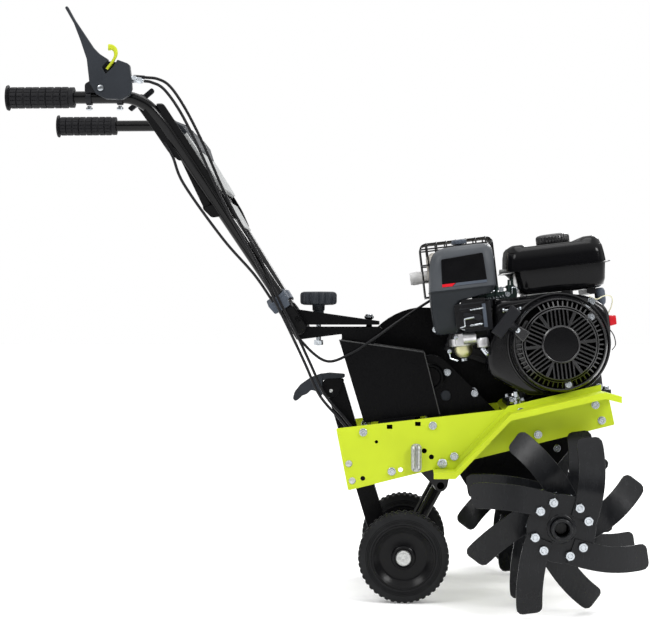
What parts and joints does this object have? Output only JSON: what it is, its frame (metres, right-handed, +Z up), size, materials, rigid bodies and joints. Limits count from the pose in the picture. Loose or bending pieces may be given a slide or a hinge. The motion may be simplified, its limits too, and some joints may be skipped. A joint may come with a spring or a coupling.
{
  "type": "front tine tiller",
  "caption": "Front tine garden tiller: petrol engine over bent tines, rear transport wheels, swinging handlebar with clutch lever.",
  "frame": {"origin": "on the ground under the middle of the machine", "axes": "+X to the front, where the tines are; -Y the operator's right; +Z up"},
  "size_m": [1.2111, 0.796, 1.1467],
  "materials": {
    "lime_paint": "gloss powder coat",
    "black_paint": "satin powder coat",
    "black_plastic": "moulded, fine grain",
    "grey_plastic": "moulded, fine grain",
    "lime_plastic": "moulded",
    "red_plastic": "moulded",
    "yellow_plastic": "moulded",
    "tank_black": "gloss enamel",
    "cover_black": "gloss enamel",
    "rubber": "matt",
    "tyre": "matt",
    "steel": "zinc plated",
    "aluminium": "die cast, black stained",
    "exhaust_metal": "heat stained sheet"
  },
  "bodies": {
    "frame": {"air_cleaner_body": "black_plastic", "air_cleaner_cover": "black_plastic", "belt_guard_back": "black_paint", "belt_guard_cover": "black_paint", "carburettor": "aluminium", "carriage_hanger": "black_paint", "case_bracket": "black_paint", "chain_case_left": "black_paint", "chain_case_right": "black_paint", "clutch_cable": "black_plastic", "crankcase": "aluminium", "cylinder_head": "aluminium", "drive_belt": "rubber", "engine_deck": "lime_paint", "fan_shroud": "cover_black", "fuel_tank": "tank_black", "handle_support": "black_paint", "muffler": "exhaust_metal", "muffler_guard": "black_paint", "recoil_cover": "black_plastic", "reverse_cable": "black_plastic", "side_plate_left": "lime_paint", "side_plate_right": "lime_paint", "swivel_base": "black_paint", "throttle_cable": "black_plastic", "tine_guard_left": "lime_paint", "tine_guard_right": "lime_paint"},
    "handlebar": {"handlebar_right": "black_paint", "handlebar_left": "black_paint", "handlebar_panel": "black_paint", "grip_right": "rubber", "grip_left": "rubber", "swivel_bracket": "black_paint", "lever_bracket": "black_plastic"},
    "clamp_knob": {"clamp_knob": "black_plastic"},
    "clutch_lever": {"clutch_lever": "grey_plastic"},
    "safety_catch": {"safety_catch": "lime_plastic"},
    "throttle_lever": {"throttle_lever": "black_plastic"},
    "wheel_carriage": {"wheel_carriage": "black_paint", "wheel_post": "black_paint"},
    "wheel_latch_lever": {"wheel_latch_lever": "black_plastic"},
    "wheel_right": {"wheel_rim_right": "black_plastic", "tyre_right": "tyre"},
    "wheel_left": {"wheel_rim_left": "black_plastic", "tyre_left": "tyre"},
    "tines": {"tine_shaft": "black_paint", "tine_rotor_inner_right": "black_paint", "tine_rotor_inner_left": "black_paint", "tine_rotor_middle_right": "black_paint", "tine_rotor_middle_left": "black_paint", "tine_rotor_outer_right": "black_paint", "tine_rotor_outer_left": "black_paint"},
    "driven_pulley": {"driven_pulley": "steel"},
    "crankshaft": {"crankshaft": "steel"},
    "idler_arm": {"idler_arm": "steel"},
    "recoil_grip": {"recoil_grip": "black_plastic"},
    "fuel_cap": {"fuel_cap": "black_plastic"},
    "oil_plug": {"oil_plug": "yellow_plastic"},
    "stop_switch": {"stop_switch": "red_plastic"},
    "choke_lever": {"choke_lever": "black_plastic"}
  },
  "joints": [
    {"name": "handlebar_swing", "type": "hinge", "parent": "frame", "child": "handlebar", "pos_m": [0.085, 0, 0.54], "axis": [0, 0, 1], "range_deg": [-10, 10], "deforming": ["clutch_cable", "reverse_cable", "throttle_cable"]},
    {"name": "clamp_knob_turn", "type": "hinge", "parent": "handlebar", "child": "clamp_knob", "pos_m": [-0.0186, 0, 0.54], "axis": [0, 0, 1], "continuous": true},
    {"name": "clutch_squeeze", "type": "hinge", "parent": "handlebar", "child": "clutch_lever", "pos_m": [-0.4202, -0.255, 0.9895], "axis": [0, -1, 0], "range_deg": [0, 48], "stiffness_Nm_per_rad": 1.5, "springref_deg": -22.92},
    {"name": "safety_catch_flip", "type": "hinge", "parent": "clutch_lever", "child": "safety_catch", "pos_m": [-0.4102, -0.255, 1.0275], "axis": [0, 1, 0], "range_deg": [0, 8], "stiffness_Nm_per_rad": 0.05, "springref_deg": -17.19},
    {"name": "throttle_set", "type": "hinge", "parent": "handlebar", "child": "throttle_lever", "pos_m": [-0.352, -0.199, 0.984], "axis": [0, 1, 0], "range_deg": [-25, 25]},
    {"name": "wheel_carriage_swing", "type": "hinge", "parent": "frame", "child": "wheel_carriage", "pos_m": [0.228, 0, 0.222], "axis": [0, 1, 0], "range_deg": [0, 15]},
    {"name": "wheel_latch_squeeze", "type": "hinge", "parent": "wheel_carriage", "child": "wheel_latch_lever", "pos_m": [0.008, 0, 0.404], "axis": [0, 1, 0], "range_deg": [0, 10], "stiffness_Nm_per_rad": 2, "springref_deg": -14.32},
    {"name": "wheel_right_spin", "type": "hinge", "parent": "wheel_carriage", "child": "wheel_right", "pos_m": [0.155, -0.165, 0.089], "axis": [0, 1, 0], "continuous": true},
    {"name": "wheel_left_spin", "type": "hinge", "parent": "wheel_carriage", "child": "wheel_left", "pos_m": [0.155, 0.165, 0.089], "axis": [0, 1, 0], "continuous": true},
    {"name": "tine_spin", "type": "hinge", "parent": "frame", "child": "tines", "pos_m": [0.439, 0, 0.172], "axis": [0, 1, 0], "continuous": true},
    {"name": "driven_pulley_spin", "type": "hinge", "parent": "frame", "child": "driven_pulley", "pos_m": [0.21, 0, 0.432], "axis": [0, 1, 0], "continuous": true},
    {"name": "crankshaft_spin", "type": "hinge", "parent": "frame", "child": "crankshaft", "pos_m": [0.4594, 0, 0.501], "axis": [0, 1, 0], "continuous": true},
    {"name": "idler_swing", "type": "hinge", "parent": "frame", "child": "idler_arm", "pos_m": [0.392, 0, 0.492], "axis": [0, -1, 0], "range_deg": [0, 11]},
    {"name": "recoil_pull", "type": "slide", "parent": "frame", "child": "recoil_grip", "axis": [-0.7953, 0, 0.6062], "range_m": [0, 0.45], "stiffness_N_per_m": 25, "springref_m": -0.4},
    {"name": "fuel_cap_turn", "type": "hinge", "parent": "frame", "child": "fuel_cap", "pos_m": [0.45687, -0.03, 0.70205], "axis": [-0.1155, 0, 0.9933], "range_deg": [0, 120]},
    {"name": "oil_plug_turn", "type": "hinge", "parent": "frame", "child": "oil_plug", "pos_m": [0.3774, -0.036, 0.43912], "axis": [-0.9917, 0, 0.1289], "continuous": true},
    {"name": "stop_switch_turn", "type": "hinge", "parent": "frame", "child": "stop_switch", "pos_m": [0.56136, -0.088, 0.54708], "axis": [0.9933, 0, 0.1155], "range_deg": [0, 60]},
    {"name": "choke_set", "type": "hinge", "parent": "frame", "child": "choke_lever", "pos_m": [0.30232, -0.15, 0.55321], "axis": [0, 1, 0], "range_deg": [-20, 20]}
  ],
  "couplings": [
    {"joint": "driven_pulley_spin", "follows": "tine_spin", "ratio": 8.6},
    {"joint": "idler_swing", "follows": "clutch_squeeze", "ratio": 0.229}
  ]
}
